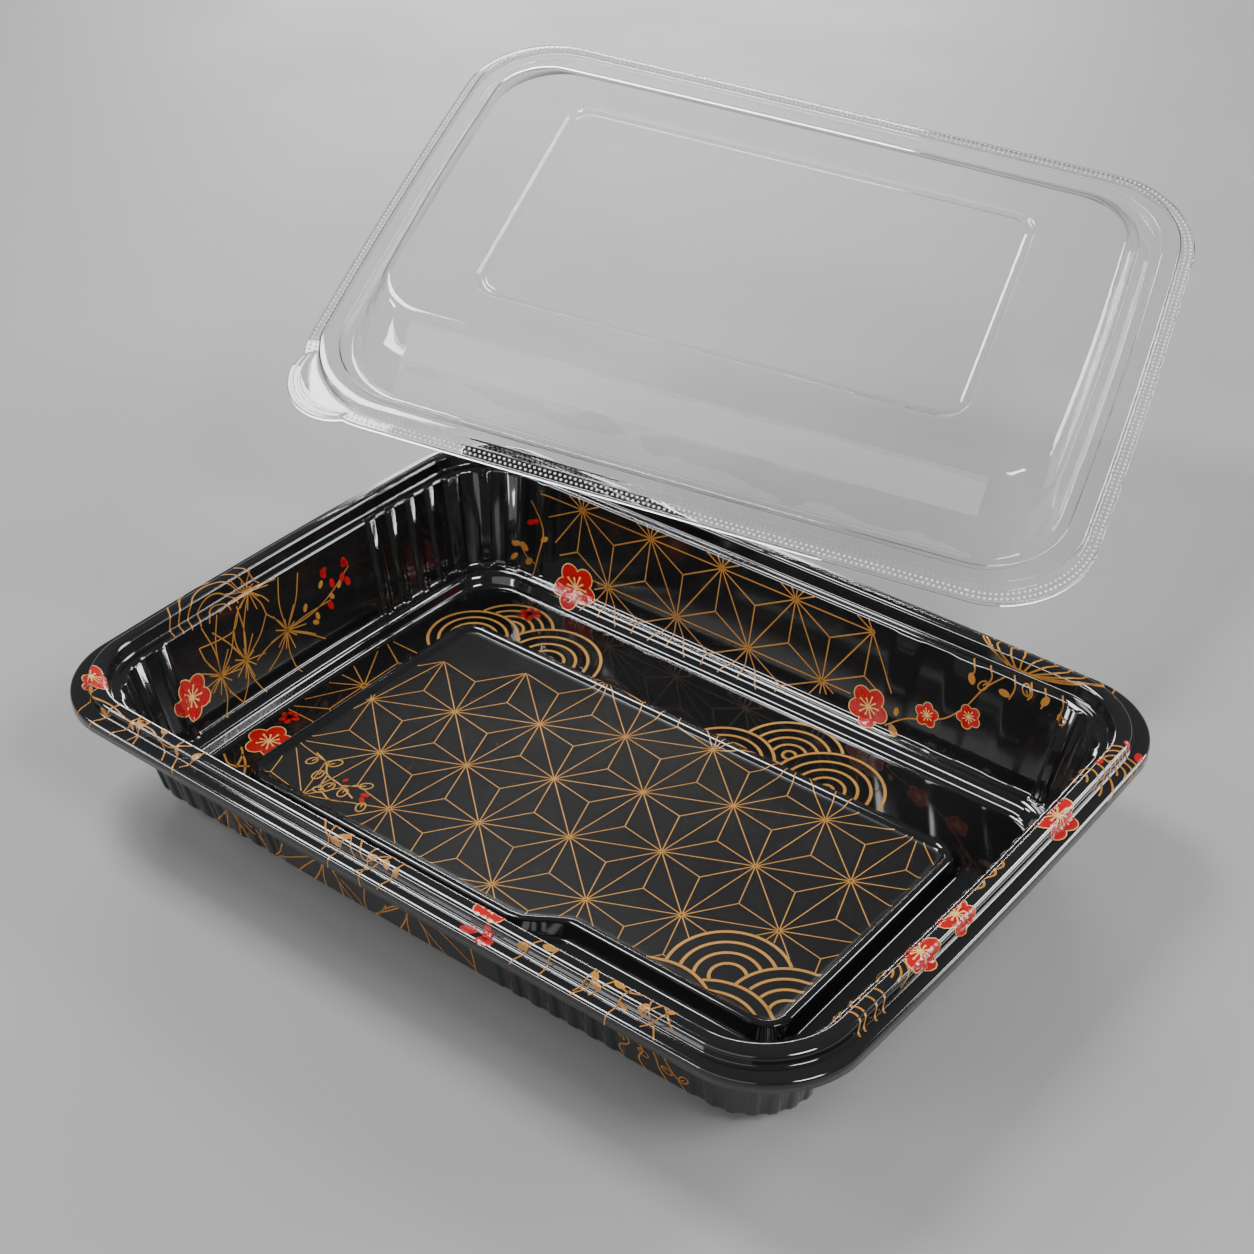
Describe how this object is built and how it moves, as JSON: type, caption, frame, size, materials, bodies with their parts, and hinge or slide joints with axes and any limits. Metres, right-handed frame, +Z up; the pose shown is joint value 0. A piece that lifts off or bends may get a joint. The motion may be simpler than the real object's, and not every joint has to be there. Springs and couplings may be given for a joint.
{
  "type": "sushi box",
  "caption": "Rectangular takeaway sushi box: a shallow black printed tray with fluted walls and a raised floor panel, and a separate clear domed lid lifted off behind it.",
  "frame": {"origin": "on the resting plane, under the middle of the common outline of tray and lid", "axes": "+Z up; +X along the tray's long sides; +Y towards the tray's back, where the lid is held"},
  "size_m": [0.3074, 0.341, 0.1171],
  "materials": {
    "black_tray": "glossy black formed sheet, printed with gold lines and red blossoms",
    "clear_lid": "clear glossy plastic sheet"
  },
  "bodies": {
    "root": {"tray": "black_tray", "lid": "clear_lid"}
  },
  "joints": []
}
